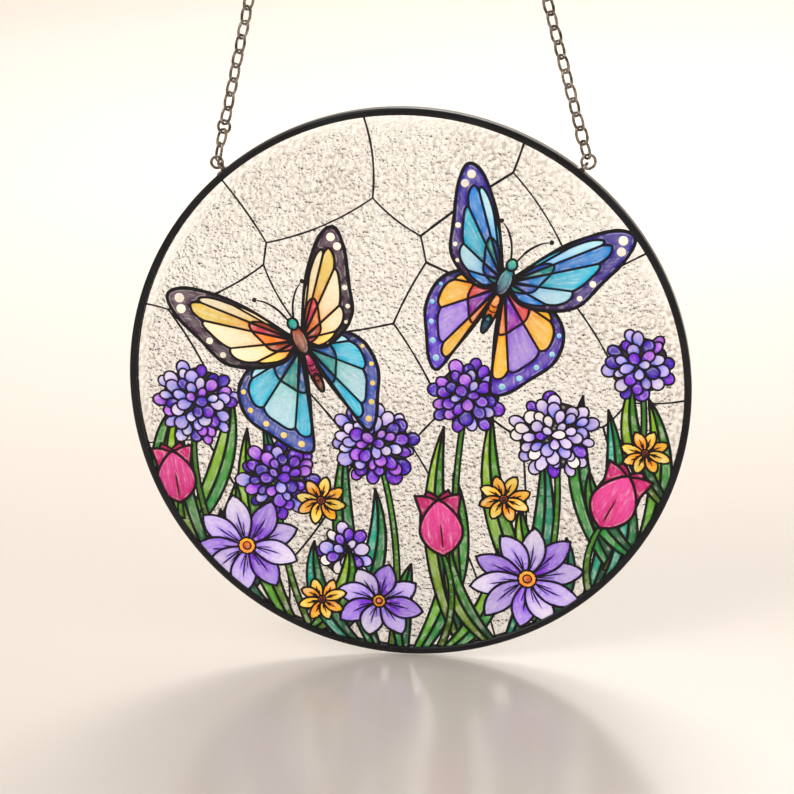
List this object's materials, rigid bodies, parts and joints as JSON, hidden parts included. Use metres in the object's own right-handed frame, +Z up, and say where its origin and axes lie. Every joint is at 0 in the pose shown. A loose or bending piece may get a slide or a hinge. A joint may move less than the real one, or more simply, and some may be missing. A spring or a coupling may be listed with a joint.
{
  "type": "stained glass suncatcher",
  "caption": "Round flat glass suncatcher in a thin black metal rim, hung by a V of fine chain from a ring, with a coloured leaded-glass style picture on its front.",
  "frame": {"origin": "highest point of the hole of the hanging ring, where a hook carries the piece", "axes": "+Z up, -Y the way the picture faces, +X to the right as seen from the front; the glass lies in the XZ plane"},
  "size_m": [0.2, 0.005, 0.4485],
  "materials": {
    "hammered_glass": "clear hammered glass with transparent and semi-opaque coloured inks and black lines on its front",
    "black_rim": "satin black channel metal",
    "aged_nickel": "antique nickel, brown-grey with bright worn spots"
  },
  "bodies": {
    "root": {"glass_pane": "hammered_glass", "hanging_ring": "aged_nickel", "left_joining_ring": "aged_nickel", "left_jump_ring": "aged_nickel", "left_link_01": "aged_nickel", "left_link_02": "aged_nickel", "left_link_04": "aged_nickel", "left_link_05": "aged_nickel", "left_link_06": "aged_nickel", "left_link_07": "aged_nickel", "left_link_08": "aged_nickel", "left_link_09": "aged_nickel", "left_link_10": "aged_nickel", "left_link_11": "aged_nickel", "left_link_12": "aged_nickel", "left_link_13": "aged_nickel", "left_link_14": "aged_nickel", "left_link_15": "aged_nickel", "left_link_16": "aged_nickel", "left_link_17": "aged_nickel", "left_link_18": "aged_nickel", "left_link_19": "aged_nickel", "left_link_20": "aged_nickel", "left_link_21": "aged_nickel", "left_link_22": "aged_nickel", "left_link_23": "aged_nickel", "left_link_24": "aged_nickel", "left_link_25": "aged_nickel", "left_link_26": "aged_nickel", "left_upper_chain": "aged_nickel", "right_jump_ring": "aged_nickel", "right_link_01": "aged_nickel", "right_link_02": "aged_nickel", "right_link_03": "aged_nickel", "right_link_04": "aged_nickel", "right_link_05": "aged_nickel", "right_link_06": "aged_nickel", "right_link_07": "aged_nickel", "right_link_08": "aged_nickel", "right_link_09": "aged_nickel", "right_link_10": "aged_nickel", "right_link_11": "aged_nickel", "right_link_12": "aged_nickel", "right_link_13": "aged_nickel", "right_link_14": "aged_nickel", "right_link_15": "aged_nickel", "right_link_16": "aged_nickel", "right_link_17": "aged_nickel", "right_link_18": "aged_nickel", "right_link_19": "aged_nickel", "right_link_20": "aged_nickel", "right_link_21": "aged_nickel", "right_link_22": "aged_nickel", "right_link_23": "aged_nickel", "right_link_24": "aged_nickel", "right_link_25": "aged_nickel", "right_link_26": "aged_nickel", "right_upper_chain": "aged_nickel", "rim": "black_rim"}
  },
  "joints": []
}
